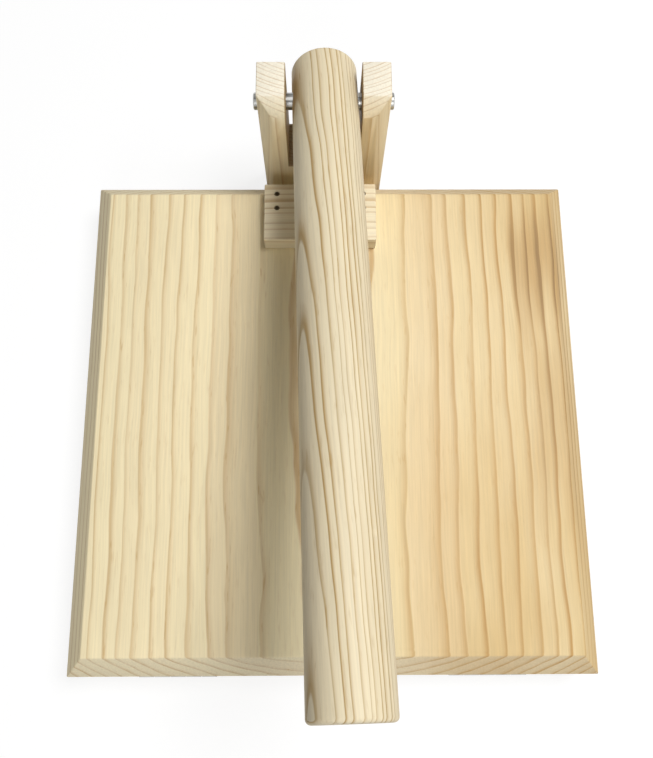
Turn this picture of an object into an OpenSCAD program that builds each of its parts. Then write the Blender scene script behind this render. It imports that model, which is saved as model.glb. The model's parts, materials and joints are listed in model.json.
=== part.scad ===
// Wooden tortilla press: two square boards hinged along the front edge, and a
// round lever that turns on a steel pin in a slotted bracket behind them.
// Origin: middle of the boards, on the underside of the base board. +Z is up,
// the hinges are at -Y, the bracket is at +Y, and the lever's grip ends at -Y.

/* [Boards] */
// Width of both boards, side to side
board_w = 254; // [215:1:320]
// Depth of the top board, front to back
board_d = 254; // [215:1:290]
// Thickness of each board
board_t = 19; // [17:0.5:26]
// Open height between the two closed boards
plate_gap = 3; // [2.6:0.1:4]
// How far the top board's bevel reaches in from its edges
bevel_run = 9.7; // [4:0.1:14]
// How far the bevel drops below the top face
bevel_drop = 13.5; // [4:0.1:14]
// Gap between the top board's rear edge and the bracket
rear_gap = 0.8; // [0.4:0.1:3]

/* [Strike block] */
// Width of the block that the lever presses on
block_w = 58; // [45:0.5:80]
// Depth of the block, front to back
block_d = 31.5; // [22:0.5:50]
// Height of the block
block_h = 11.4; // [8:0.1:14]
// How far the block sits off the boards' middle, to the right
block_shift = -5.6; // [-10:0.1:10]
// Distance of the nails from the block's sides
nail_side = 6.7; // [4:0.1:12]
// Distance of the rear nails from the block's rear face
nail_rear = 5.6; // [4:0.1:9]
// Distance between the front and the rear nails
nail_pitch = 7.9; // [6:0.1:12]
// Diameter of a nail's shank
nail_d = 1.6; // [1.2:0.1:2]
// Diameter of a nail's head
nail_head_d = 2.8; // [2.4:0.1:3.4]
// Length of a nail
nail_len = 22; // [16:1:25]
// How far the nail heads are set below the block's top
nail_set = 0.5; // [0.2:0.1:1]

/* [Lever bracket] */
// Thickness of each cheek beside the lever
cheek_w = 13.75; // [11:0.25:20]
// Depth of the bracket, front to back
bracket_d = 25.4; // [20:0.2:36]
// Height of the bracket above the top board's face
bracket_rise = 62.5; // [58:0.5:80]
// Height of the slot's floor above the top board's face
slot_floor_rise = 10.5; // [5:0.5:18]
// Space between the lever and each cheek
slot_play = 2.1; // [1.6:0.1:4]
// How far the bracket sits off the boards' middle, to the right
bracket_shift = -3.7; // [-10:0.1:10]
// Bevel along the bracket's top front edge
top_bevel = 7.4; // [2:0.1:8]
// Chamfer of the front corners at the bracket's top
corner_top = 7.2; // [3:0.1:9]
// Chamfer of the front corners at the bracket's foot
corner_foot = 2.8; // [0.5:0.1:6]
// Distance between the two screws that hold the bracket
bracket_screw_pitch = 36; // [24:1:44]
// Shank diameter of the bracket screws
bracket_screw_d = 4.5; // [3.5:0.1:6]
// Length of the bracket screws
bracket_screw_len = 60; // [45:1:70]

/* [Lever] */
// Diameter of the round lever
lever_d = 31.75; // [26:0.25:36]
// Overall length of the lever
lever_len = 292; // [250:1:340]
// Distance from the lever's rear end to its pivot
lever_tail = 19; // [14:0.5:24]
// Rounding of the lever's end edges
lever_round = 2; // [0.5:0.1:5]
// Height of the pivot above the top board's face
pivot_rise = 49.5; // [44:0.5:51]
// How far the lever stands up from level at rest
lever_raise = 10.8; // [5:0.1:20]
// How far the lever's grip end veers to the right
lever_skew = 1.6; // [-3:0.1:3]
// How far the lever sits off the slot's middle, to the right
lever_shift = 0.7; // [-1:0.1:1]
// Diameter of the steel pivot pin
pin_d = 8; // [6:0.5:10]
// How far the pin stands out of each cheek
pin_proud = 2; // [0:0.1:4]
// Radial clearance of the pin in the cheeks and the lever
pin_play = 0.06; // [0.02:0.01:0.1]

/* [Hinges] */
// Distance from the boards' sides to the middles of the hinges
hinge_side = 52; // [38:1:60]
// Length of a hinge along its pin
hinge_len = 38; // [30:1:50]
// Reach of a hinge leaf from its pin
leaf_reach = 14; // [12:0.5:20]
// Thickness of a hinge leaf
leaf_t = 1.2; // [0.9:0.1:1.3]
// Outer diameter of the hinge knuckles
knuckle_d = 5; // [4.6:0.1:5.6]
// Number of knuckles on a hinge
knuckle_count = 5; // [3:2:7]
// Gap between neighbouring knuckles
knuckle_gap = 0.3; // [0.2:0.05:0.5]
// How far the hinge pins lie behind the boards' front edge
hinge_inset = 1.4; // [0.6:0.1:1.6]
// Diameter of a hinge pin
hinge_pin_d = 2.4; // [1.8:0.1:2.6]
// Radial clearance of a hinge pin in its knuckles
hinge_play = 0.05; // [0.02:0.01:0.1]
// Distance between the two screws of a leaf
leaf_screw_pitch = 24; // [16:1:28]
// Shank diameter of the leaf screws
leaf_screw_d = 2.8; // [2:0.1:3.5]
// Length of the leaf screws
leaf_screw_len = 12; // [9:0.5:14]

/* [Hidden] */
$fn = 64;
// Space left round pieces that are fixed in a hole or a recess
fit = 0.05;
// Space left round a hinge's moving knuckles
knuckle_room = 0.4;
// Depth, arm width and span of a screw head's cross slot, as shares of the head
cross_depth_share = 0.22;
cross_width_share = 0.16;
cross_span_share = 0.6;
// A countersunk head is twice as wide as its shank, with 45 degree sides
head_ratio = 2;
// Height of a nail's head as a share of its diameter
nail_head_share = 0.5;
// Reach of a corner's cutting wedge past the bracket's top and foot, as a share
// of the bracket's height
wedge_over = 0.2;
// Extra length that lets a cutting shape pass through a face
past = 1;

base_top = board_t;
lid_bottom = base_top + plate_gap;
lid_top = lid_bottom + board_t;
front_y = -board_d / 2;
rear_y = board_d / 2;
bracket_y = rear_y + rear_gap;
base_d = board_d + rear_gap;
slot_w = lever_d + 2 * slot_play;
bracket_w = slot_w + 2 * cheek_w;
bracket_h = lid_top + bracket_rise;
slot_floor = lid_top + slot_floor_rise;
pivot = [bracket_shift, bracket_y + bracket_d / 2, lid_top + pivot_rise];
pin_len = bracket_w + 2 * pin_proud;
block_rear_y = rear_y - bevel_run;
knuckle_r = knuckle_d / 2;
hinge_y = front_y + hinge_inset;
hinge_z = base_top + plate_gap / 2;
leaf_screw_y = (knuckle_r + leaf_reach) / 2;

// Shared shapes

// A cylinder along X with its middle at the origin
module rod_x(d, len) {
    rotate([0, 90, 0]) cylinder(d = d, h = len, center = true);
}

// A countersunk screw along -Z, its head's flat face at z = 0.
// room grows it all round, for the hole that it sits in.
module screw(d, len, room = 0) {
    head_d = d * head_ratio;
    head_h = (head_d - d) / 2;
    difference() {
        union() {
            translate([0, 0, -len - room])
                cylinder(d = d + 2 * room, h = len + room);
            translate([0, 0, -head_h])
                cylinder(d1 = d + 2 * room, d2 = head_d + 2 * room, h = head_h);
            if (room > 0) cylinder(d = head_d + 2 * room, h = past);
        }
        if (room == 0) cross_slot(head_d);
    }
}

// The cross that a screwdriver turns
module cross_slot(head_d) {
    depth = head_d * cross_depth_share;
    width = head_d * cross_width_share;
    reach = head_d * cross_span_share;
    for (turn = [0, 90])
        rotate([0, 0, turn])
            translate([-reach / 2, -width / 2, -depth])
                cube([reach, width, depth + past]);
}

// Puts its children at each screw of the bracket, heads to the rear
module at_bracket_screws() {
    for (side = [-1, 1])
        translate([bracket_shift + side * bracket_screw_pitch / 2,
                   bracket_y + bracket_d, base_top / 2])
            rotate([-90, 0, 0]) children();
}

// Puts its children at each nail of the strike block, on the block's top
module at_nails() {
    for (side = [-1, 1], row = [0, 1])
        translate([block_shift + side * (block_w / 2 - nail_side),
                   block_rear_y - nail_rear - row * nail_pitch,
                   lid_top + block_h])
            children();
}

// Puts its children at a hinge's pin: side is -1 for the left, 1 for the right
module at_hinge(side) {
    translate([side * (board_w / 2 - hinge_side), hinge_y, hinge_z]) children();
}

// Puts its children at a leaf's screws, on the leaf's inner face.
// level is -1 for the lower leaf and 1 for the upper one.
module at_leaf_screws(level) {
    mirror([0, 0, level > 0 ? 1 : 0])
        for (side = [-1, 1])
            translate([side * leaf_screw_pitch / 2, leaf_screw_y, leaf_t - knuckle_r])
                children();
}

// The recess for a lower leaf, the hollow round the knuckles and the screw holes
module hinge_recess() {
    wide = hinge_len + 2 * fit;
    translate([-wide / 2, -hinge_inset - past, -knuckle_r])
        cube([wide, hinge_inset + leaf_reach + past + fit, knuckle_r + past]);
    rod_x(knuckle_d + 2 * knuckle_room, hinge_len + 2 * knuckle_room);
    at_leaf_screws(-1) screw(leaf_screw_d, leaf_screw_len, fit);
}

// Base and bracket

module base_board() {
    color("burlywood")
        difference() {
            translate([-board_w / 2, front_y, 0]) cube([board_w, base_d, board_t]);
            for (side = [-1, 1]) at_hinge(side) hinge_recess();
            at_bracket_screws() screw(bracket_screw_d, bracket_screw_len, fit);
        }
}

// Bracket seen from the side, with its top front edge bevelled
module bracket_side() {
    polygon([
        [0, 0], [bracket_d, 0], [bracket_d, bracket_h],
        [top_bevel, bracket_h], [0, bracket_h - top_bevel]
    ]);
}

// Wedge that chamfers one front corner, narrower towards the foot
module corner_cut(side) {
    lean = atan((corner_top - corner_foot) / sqrt(2) / bracket_h);
    size = bracket_d * 2;
    over = bracket_h * wedge_over;
    translate([bracket_shift + side * bracket_w / 2, bracket_y, bracket_h])
        rotate([0, 0, side > 0 ? -45 : 225])
            translate([-corner_top / sqrt(2), 0, 0])
                rotate([0, -lean, 0])
                    translate([0, -size / 2, -bracket_h - over])
                        cube([size, size, bracket_h + 2 * over]);
}

module lever_bracket() {
    color("wheat")
        difference() {
            translate([bracket_shift - bracket_w / 2, bracket_y, 0])
                rotate([90, 0, 90]) linear_extrude(bracket_w) bracket_side();
            for (side = [-1, 1]) corner_cut(side);
            translate([bracket_shift - slot_w / 2, bracket_y - past, slot_floor])
                cube([slot_w, bracket_d + 2 * past, bracket_h]);
            translate(pivot) rod_x(pin_d + 2 * pin_play, bracket_w + 2 * past);
            at_bracket_screws() screw(bracket_screw_d, bracket_screw_len, fit);
        }
}

module bracket_screws() {
    color("silver") at_bracket_screws() screw(bracket_screw_d, bracket_screw_len);
}

// Top board with its strike block

// Board outline seen along one axis: a plain edge below, the bevel above
module bevelled_outline(width) {
    polygon([
        [-width / 2, 0], [width / 2, 0], [width / 2, board_t - bevel_drop],
        [width / 2 - bevel_run, board_t], [bevel_run - width / 2, board_t],
        [-width / 2, board_t - bevel_drop]
    ]);
}

module top_board() {
    color("burlywood")
        difference() {
            translate([0, 0, lid_bottom])
                intersection() {
                    rotate([90, 0, 0])
                        linear_extrude(board_d, center = true) bevelled_outline(board_w);
                    rotate([90, 0, 90])
                        linear_extrude(board_w, center = true) bevelled_outline(board_d);
                }
            for (side = [-1, 1]) at_hinge(side) mirror([0, 0, 1]) hinge_recess();
            at_nails() nail(fit);
        }
}

module strike_block() {
    color("wheat")
        difference() {
            translate([block_shift - block_w / 2, block_rear_y - block_d, lid_top])
                cube([block_w, block_d, block_h]);
            at_nails() nail(fit);
        }
}

// A nail along -Z, its head set below z = 0
module nail(room = 0) {
    head_h = nail_head_d * nail_head_share;
    translate([0, 0, -nail_set - nail_len - room])
        cylinder(d = nail_d + 2 * room, h = nail_len + room);
    translate([0, 0, -nail_set - head_h])
        cylinder(d = nail_head_d + 2 * room, h = head_h + (room > 0 ? nail_set + past : 0));
}

module block_nails() {
    color("dimgray") at_nails() nail();
}

// Lever and its pin

// Half outline of the lever, with rounded end edges, along Y from its rear end
module lever_profile() {
    half = lever_d / 2;
    square([half - lever_round, lever_len]);
    translate([0, lever_round]) square([half, lever_len - 2 * lever_round]);
    for (y = [lever_round, lever_len - lever_round])
        translate([half - lever_round, y]) circle(r = lever_round);
}

module lever() {
    color("wheat")
        translate(pivot)
            difference() {
                rotate([-lever_raise, 0, 0])
                    translate([lever_shift, 0, 0])
                        rotate([90, 0, lever_skew])
                            translate([0, 0, -lever_tail])
                                rotate_extrude() lever_profile();
                rod_x(pin_d + 2 * pin_play, slot_w);
            }
}

module pivot_pin() {
    color("silver") translate(pivot) rod_x(pin_d, pin_len);
}

// Hinges

// Middle of knuckle i along the pin
function knuckle_x(i) = (i + 0.5) * hinge_len / knuckle_count - hinge_len / 2;

// A lower leaf that holds every second knuckle, starting with the knuckle own
module leaf_shape(own) {
    pitch = hinge_len / knuckle_count;
    difference() {
        union() {
            translate([-hinge_len / 2, 0, -knuckle_r])
                cube([hinge_len, leaf_reach, leaf_t]);
            for (i = [own : 2 : knuckle_count - 1])
                translate([knuckle_x(i), 0, 0]) rod_x(knuckle_d, pitch - knuckle_gap);
        }
        for (i = [1 - own : 2 : knuckle_count - 1])
            translate([knuckle_x(i), 0, 0])
                rod_x(knuckle_d + 2 * knuckle_room, pitch + knuckle_gap);
        rod_x(hinge_pin_d + 2 * hinge_play, hinge_len + 2 * past);
        at_leaf_screws(-1) screw(leaf_screw_d, leaf_screw_len, fit);
    }
}

module hinge_lower_leaf(side) {
    color("silver") at_hinge(side) leaf_shape(0);
}

module hinge_upper_leaf(side) {
    color("silver") at_hinge(side) mirror([0, 0, 1]) leaf_shape(1);
}

module hinge_pin(side) {
    color("gray") at_hinge(side) rod_x(hinge_pin_d, hinge_len);
}

module hinge_screws(side, level) {
    color("silver")
        at_hinge(side) at_leaf_screws(level) screw(leaf_screw_d, leaf_screw_len);
}

base_board();
lever_bracket();
bracket_screws();
top_board();
strike_block();
block_nails();
lever();
pivot_pin();
hinge_lower_leaf(-1);  // left_hinge_lower_leaf
hinge_upper_leaf(-1);  // left_hinge_upper_leaf
hinge_pin(-1);  // left_hinge_pin
hinge_screws(-1, -1);  // left_hinge_lower_screws
hinge_screws(-1, 1);  // left_hinge_upper_screws
hinge_lower_leaf(1);  // right_hinge_lower_leaf
hinge_upper_leaf(1);  // right_hinge_upper_leaf
hinge_pin(1);  // right_hinge_pin
hinge_screws(1, -1);  // right_hinge_lower_screws
hinge_screws(1, 1);  // right_hinge_upper_screws
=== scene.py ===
"""Wooden tortilla press: its wood, its metal and the stage, dressed over the CAD frame.

Metres, in the frame's own axes: +Z is up, the hinges and the grip lie at -Y, the bracket at +Y.
"""

import json
import math

import bmesh
import bpy
from bpy.props import FloatProperty, FloatVectorProperty, IntProperty, PointerProperty
from mathutils import Euler, Matrix, Vector, noise


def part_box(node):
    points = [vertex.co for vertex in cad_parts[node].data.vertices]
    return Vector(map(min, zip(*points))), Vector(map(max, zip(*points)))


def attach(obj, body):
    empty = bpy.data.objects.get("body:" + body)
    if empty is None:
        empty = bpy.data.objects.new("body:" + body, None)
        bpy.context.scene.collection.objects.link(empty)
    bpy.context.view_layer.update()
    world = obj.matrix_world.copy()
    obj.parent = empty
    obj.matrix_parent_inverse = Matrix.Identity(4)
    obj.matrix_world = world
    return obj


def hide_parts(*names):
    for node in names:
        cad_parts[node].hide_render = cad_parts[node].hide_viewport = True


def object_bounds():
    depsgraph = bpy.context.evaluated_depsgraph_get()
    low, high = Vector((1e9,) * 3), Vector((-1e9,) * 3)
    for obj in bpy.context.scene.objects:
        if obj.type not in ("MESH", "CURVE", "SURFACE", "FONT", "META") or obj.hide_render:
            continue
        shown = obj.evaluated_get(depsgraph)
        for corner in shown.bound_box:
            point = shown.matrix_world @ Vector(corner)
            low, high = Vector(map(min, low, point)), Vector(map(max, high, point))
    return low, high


bl_info = {
    "name": "Wooden tortilla press",
    "version": (1, 0, 0),
    "blender": (4, 5, 0),
    "location": "3D View > Sidebar > Press",
    "description": "Builds the boards, lever, bracket, block and hinges of a wooden tortilla press",
    "category": "Add Mesh",
}

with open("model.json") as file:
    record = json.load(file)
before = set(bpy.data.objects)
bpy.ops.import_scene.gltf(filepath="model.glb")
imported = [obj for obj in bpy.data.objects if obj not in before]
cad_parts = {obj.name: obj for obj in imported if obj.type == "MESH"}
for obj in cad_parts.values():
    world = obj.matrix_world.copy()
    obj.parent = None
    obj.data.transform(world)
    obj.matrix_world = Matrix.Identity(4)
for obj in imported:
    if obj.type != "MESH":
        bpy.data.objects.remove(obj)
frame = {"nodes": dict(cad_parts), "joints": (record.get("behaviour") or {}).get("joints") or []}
CAD_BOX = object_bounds()
MM = 0.001
QUARTER_TURN = math.pi / 2
UPSIDE_DOWN = (math.pi, 0.0, 0.0)
WHITE = (1.0, 1.0, 1.0)
PIVOT = next(Vector(joint["pos_m"]) for joint in frame["joints"] if joint["name"] == "lever_press")


def hinge_pieces(side):
    """The finished pieces of one hinge, as in PIECES."""
    pieces = {f"{side}_hinge_pin": (f"{side}_hinge_rod", "base", "hinge_steel")}
    for level, body in (("lower", "base"), ("upper", "lid")):
        pieces[f"{side}_hinge_{level}_leaf"] = (f"{side}_{level}_rolled_leaf", body, "hinge_steel")
        pieces[f"{side}_hinge_{level}_screws"] = (f"{side}_{level}_leaf_screws", body, "screw_steel")
    return pieces


# Each CAD node's finished piece: its name, the body it rides on and its material slot
PIECES = {
    "top_board": ("planed_top_board", "lid", "board_pine"),
    "base_board": ("planed_base_board", "base", "board_pine"),
    "lever_bracket": ("sawn_bracket", "base", "bracket_pine"),
    "strike_block": ("sawn_block", "lid", "block_pine"),
    "lever": ("turned_lever", "lever", "lever_pine"),
    "pivot_pin": ("drawn_pin", "pin", "pin_steel"),
    "block_nails": ("sunk_nails", "lid", "nail_steel"),
    "bracket_screws": ("long_screws", "base", "screw_steel"),
    **hinge_pieces("left"),
    **hinge_pieces("right"),
}


def span(node):
    """Size of a CAD node's box along X, Y and Z."""
    low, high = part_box(node)
    return high - low


def middle(node):
    """Middle of a CAD node's box."""
    low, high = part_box(node)
    return (low + high) / 2


def upper(node):
    """Upper corner of a CAD node's box."""
    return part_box(node)[1]


# Sizes and colours that a user would change


def length_size(name, description, default, least=0.0):
    """A length in metres."""
    return FloatProperty(
        name=name, description=description, default=default, min=least, subtype="DISTANCE", unit="LENGTH"
    )


def angle_size(name, description, degrees):
    """An angle."""
    return FloatProperty(
        name=name, description=description, default=math.radians(degrees), subtype="ANGLE", unit="ROTATION"
    )


def share_size(name, description, default, least=0.0, most=1.0):
    """A share of a whole."""
    return FloatProperty(
        name=name, description=description, default=default, min=least, max=most, subtype="FACTOR"
    )


def colour_size(name, description, default):
    """A colour."""
    return FloatVectorProperty(
        name=name, description=description, default=default, size=3, min=0.0, max=1.0, subtype="COLOR"
    )


class WoodSizes(bpy.types.PropertyGroup):
    """How the flat wooden pieces are finished."""

    easing: length_size("Edge Easing", "How far the sandpaper rounded the long edges", 0.6 * MM)
    wander: length_size(
        "Edge Wander", "How far an eased edge dips below the planed faces beside it", 0.35 * MM
    )
    shortest: length_size("Shortest Eased Edge", "Edges shorter than this stay sharp", 9 * MM)


class LeverSizes(bpy.types.PropertyGroup):
    """The round lever and its pin."""

    diameter: length_size("Lever Diameter", "Diameter of the round stock", 31.75 * MM)
    length: length_size("Lever Length", "Overall length of the lever", 292 * MM)
    tail: length_size("Lever Tail", "Distance from the lever's rear end to its pivot", 19 * MM)
    rounding: length_size("End Rounding", "Rounding of the lever's end edges", 2 * MM)
    shift: length_size(
        "Lever Shift", "How far the lever sits to the right of its pivot's middle", 0.7 * MM, -2 * MM
    )
    rise: angle_size("Lever Rise", "How far the lever stands up from level at rest", 10.8)
    skew: angle_size("Lever Skew", "How far the lever's grip end veers to the right", 1.6)
    pin_play: length_size("Pin Play", "Radial clearance of the pivot pin in the lever", 0.06 * MM)
    pin_rounding: length_size("Pin End Rounding", "Rounding of the pivot pin's ends", 0.7 * MM)
    nick_from_pivot: length_size(
        "Nick Place", "Distance of the small nick from the pivot, along the lever", 212 * MM
    )
    nick_turn: angle_size(
        "Nick Turn", "Turn of the nick round the lever, from the top towards the right", 40
    )
    nick_depth: length_size("Nick Depth", "Depth of the nick", 0.35 * MM)
    nick_radius: length_size("Nick Radius", "Radius of the nick's own curve across the lever", 3 * MM)


class FastenerSizes(bpy.types.PropertyGroup):
    """Screws and nails."""

    bracket_screw: length_size("Bracket Screw", "Shank diameter of the bracket's screws", 4.5 * MM)
    leaf_screw: length_size("Leaf Screw", "Shank diameter of the hinge leaves' screws", 2.8 * MM)
    nail_shank: length_size("Nail Shank", "Diameter of a nail's shank", 1.6 * MM)
    nail_head: length_size("Nail Head", "Diameter of a nail's head", 2.8 * MM)
    thread_depth: share_size(
        "Thread Depth", "Depth of a screw's thread, as a share of its shank's radius", 0.3, 0.05, 0.5
    )


class HingeSizes(bpy.types.PropertyGroup):
    """The two butt hinges."""

    leaf: length_size("Leaf Thickness", "Thickness of a hinge leaf", 1.2 * MM)
    gap: length_size("Knuckle Gap", "Gap between neighbouring knuckles", 0.3 * MM)
    room: length_size("Knuckle Room", "Space between a leaf and the other leaf's knuckles", 0.4 * MM)
    knuckles: IntProperty(
        name="Knuckles", description="Number of knuckles on a hinge", default=5, min=3, max=7
    )
    roll: angle_size("Knuckle Roll", "How far a leaf is rolled round its pin", 318)


class PineLooks(bpy.types.PropertyGroup):
    """Colours of the bare pine."""

    early: colour_size("Early Wood", "The pale wood of spring", (0.93, 0.815, 0.525))
    late: colour_size("Late Wood", "The dark lines of late summer", (0.52, 0.31, 0.11))
    aged: colour_size("Aged Lines", "The lines of wood that has greyed", (0.42, 0.29, 0.12))
    # The colour of the lines inside the darker clouds
    stained: colour_size(
        "Stained Lines", "The lines where the wood is stained dark", (0.27, 0.165, 0.065)
    )
    warm: colour_size("Warm Wood", "The yellower wood nearer the heart", (0.64, 0.435, 0.165))
    rosy: colour_size("Rosy Wood", "The rosier years", (0.78, 0.60, 0.38))
    pale: colour_size("Pale Wood", "The whitest sapwood", (0.90, 0.84, 0.70))
    # Painted shade: the colour that darkens the walls and floor of the lever's slot
    slot_shade: colour_size("Scorch", "How far a blunt saw browns the slot", (0.42, 0.34, 0.24))
    grey: colour_size("Cut End", "The greyer wood of sawn ends", (0.68, 0.64, 0.56))


class MetalLooks(bpy.types.PropertyGroup):
    """Colours of the metal parts."""

    zinc: colour_size("Zinc", "Plated hinges and screws", (0.62, 0.62, 0.60))
    steel: colour_size("Steel", "The bright drawn pivot pin", (0.60, 0.60, 0.58))
    nail: colour_size("Nail", "Dark bare nail heads", (0.19, 0.15, 0.085))


class StageLooks(bpy.types.PropertyGroup):
    """Floor, lights and camera."""

    floor: share_size("Floor Shade", "How pale the floor is", 0.88)
    shadow: share_size("Floor Shadow", "How much of the floor's own shading the camera sees", 0.22)
    sky: FloatProperty(
        name="Soft Light", description="Strength of the light from all round", default=0.08, min=0.0
    )
    key: FloatProperty(
        name="Key Light", description="Power of the large soft lamp", default=14.6, min=0.0, unit="POWER"
    )
    fill: FloatProperty(
        name="Fill Light", description="Power of the lamp at the front", default=4.2, min=0.0, unit="POWER"
    )
    lens: FloatProperty(
        name="Lens", description="Focal length for a 36 mm sensor", default=36.68, min=1.0, unit="CAMERA"
    )


GROUPS = {
    "press_wood": WoodSizes,
    "press_lever": LeverSizes,
    "press_fasteners": FastenerSizes,
    "press_hinges": HingeSizes,
    "press_pine": PineLooks,
    "press_metal": MetalLooks,
    "press_stage": StageLooks,
}


# Node trees

GRAIN_SEED_STEP = (7.3, 3.1, 5.7)


def put(tree, kind, inputs=(), **settings):
    """Adds a node. inputs maps a socket's name or number to a value or to another node's output."""
    node = tree.nodes.new(kind)
    for name, value in settings.items():
        setattr(node, name, value)
    for key, value in dict(inputs).items():
        if isinstance(value, bpy.types.NodeSocket):
            tree.links.new(value, node.inputs[key])
        else:
            node.inputs[key].default_value = value
    return node


def sum_up(tree, operation, *values):
    """One Math node's result."""
    return put(tree, "ShaderNodeMath", dict(enumerate(values)), operation=operation).outputs[0]


def times(tree, product, *factors):
    """Numbers multiplied with one another."""
    for factor in factors:
        product = sum_up(tree, "MULTIPLY", product, factor)
    return product


def point_sum(tree, operation, *values, result="Vector"):
    """One Vector Math node's vector, or its number with result set to Value."""
    node = put(tree, "ShaderNodeVectorMath", dict(enumerate(values)), operation=operation)
    return node.outputs[result]


def distance(tree, vector):
    """A vector's length."""
    return point_sum(tree, "LENGTH", vector, result="Value")


def scaled(tree, vector, factor):
    """A vector times a number."""
    node = put(tree, "ShaderNodeVectorMath", {0: vector, "Scale": factor}, operation="SCALE")
    return node.outputs["Vector"]


def part_of(tree, vector, axis):
    """One of a vector's three numbers."""
    return put(tree, "ShaderNodeSeparateXYZ", {0: vector}).outputs[axis]


def ranged(tree, value, start=0.0, end=1.0, low=0.0, high=1.0, way="LINEAR"):
    """From low to high while value goes from start to end, evenly or in a SMOOTHSTEP."""
    limits = {"Value": value, "From Min": start, "From Max": end, "To Min": low, "To Max": high}
    return put(tree, "ShaderNodeMapRange", limits, interpolation_type=way).outputs[0]


def ramp(tree, factor, stops, interpolation="LINEAR"):
    """A grey ramp through (place, height) stops."""
    node = put(tree, "ShaderNodeValToRGB", {0: factor})
    bar = node.color_ramp
    bar.interpolation = interpolation
    while len(bar.elements) < len(stops):
        bar.elements.new(0.5)
    for element, (place, height) in zip(bar.elements, stops):
        element.position = place
        element.color = (height, height, height, 1.0)
    return node.outputs["Color"]


def blend_colours(tree, factor, first, second, blend_type="MIX"):
    """Mixes two colours."""
    node = put(tree, "ShaderNodeMix", data_type="RGBA", blend_type=blend_type)
    for number, value in ((0, factor), (6, first), (7, second)):
        if isinstance(value, bpy.types.NodeSocket):
            tree.links.new(value, node.inputs[number])
        elif number:
            node.inputs[number].default_value = (*value, 1.0)
        else:
            node.inputs[number].default_value = value
    return node.outputs[2]


def blotches(tree, place, scale, detail, output="Fac"):
    """Noise with about scale blotches to each unit of place."""
    node = put(tree, "ShaderNodeTexNoise", {"Vector": place, "Scale": scale, "Detail": detail})
    return node.outputs[output]


def grain_noise(tree, place, size, seed, detail=2.0, output="Fac"):
    """Noise drawn out along the grain. size is a blotch's size across and along it."""
    across, along = size
    stretched = point_sum(tree, "MULTIPLY", place, (1 / across, 1 / across, 1 / along))
    moved = point_sum(tree, "ADD", stretched, [seed * step for step in GRAIN_SEED_STEP])
    return blotches(tree, moved, 1.0, detail, output)


def blank_tree(owner):
    """The node tree of a material or a world, emptied."""
    owner.use_nodes = True
    owner.node_tree.nodes.clear()
    return owner.node_tree


def new_material(name):
    """A material with its shader and output, and nothing else."""
    material = bpy.data.materials.new(name)
    tree = blank_tree(material)
    shader = put(tree, "ShaderNodeBsdfPrincipled")
    put(tree, "ShaderNodeOutputMaterial", {"Surface": shader.outputs[0]})
    return material, tree, shader


def lay_finish(tree, shader, colour, roughness, relief, strength, depth):
    """Gives the shader its colour, its roughness and the relief's bumps."""
    bump = put(tree, "ShaderNodeBump", {"Strength": strength, "Distance": depth, "Height": relief})
    tree.links.new(colour, shader.inputs["Base Color"])
    tree.links.new(roughness, shader.inputs["Roughness"])
    tree.links.new(bump.outputs[0], shader.inputs["Normal"])


def seen_directly(tree):
    """1 for what the camera sees, straight on or in a reflection or through glass, and otherwise 0."""
    ray = put(tree, "ShaderNodeLightPath").outputs
    bounced = sum_up(tree, "MAXIMUM", ray["Is Glossy Ray"], ray["Is Transmission Ray"])
    return sum_up(tree, "MAXIMUM", ray["Is Camera Ray"], bounced)


# Wood

# Sizes across and along the grain of what varies in the wood
SLOW_BENDS = (55 * MM, 150 * MM)
SHORT_RIPPLES = (14 * MM, 38 * MM)
LINE_PATCHES = (9 * MM, 110 * MM)
WARM_PATCHES = (38 * MM, 110 * MM)
FIBRES = (0.9 * MM, 40 * MM)
FLECKS = (1.1 * MM, 10 * MM)
PORES_A_METRE = 1600.0

# What comes of that noise, from its low places to its high ones
LINE_SHARE = ((0.3, 0.5), (0.68, 1.0))
WARM_SHARE = ((0.34, 0.0), (0.68, 1.0))
FIBRE_SHADE = ((0.25, 0.9), (0.75, 1.04))
FLECK_SHARE = ((0.6, 0.0), (0.72, 1.0))

# How far the years differ in growth and in strength
YEAR_SEED_STEP = 13.0
YEAR_PACE = 0.6
FAINTEST_YEAR = 0.7
YEAR_SWING = 0.5

CLOUD_RAGGEDNESS = 1.4
CLOUD_DARKENING = 1.2
LINE_STAIN = 0.6
FLECK_ALONE = 0.2

# How squarely a face must cross the grain to count as sawn
SAWN_SHARE = ((0.25, 0.0), (0.75, 1.0))
# How far past the slot's walls and floor its painted shade reaches
SLOT_SHADE_MARGIN = 0.45 * MM

PLANED_ROUGHNESS = 0.52
SAWN_ROUGHNESS = 0.74
FIBRE_ROUGHNESS = 0.12
WOOD_GLOSS = 0.35
WOOD_RELIEF = 0.16 * MM
WOOD_RELIEF_STRENGTH = 0.55
LINE_RELIEF = 0.5
FIBRE_RELIEF = 0.45
PORE_RELIEF = 0.8


def mixed(first, second, share):
    """Two colours mixed: share of the second."""
    return tuple(a * (1 - share) + b * share for a, b in zip(first, second))


def stray_rings(tree, log, seed, wave, ripple):
    """Where a place in the log lies after its rings have strayed, in slow bends and in short ripples."""
    strayed = log
    for shift, size, reach in ((1, SLOW_BENDS, wave), (2, SHORT_RIPPLES, wave * ripple)):
        bend = grain_noise(tree, log, size, seed + shift, 1.0, "Color")
        centred = point_sum(tree, "SUBTRACT", bend, (0.5, 0.5, 0.5))
        strayed = point_sum(tree, "ADD", strayed, scaled(tree, centred, 2 * reach))
    return strayed


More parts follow.
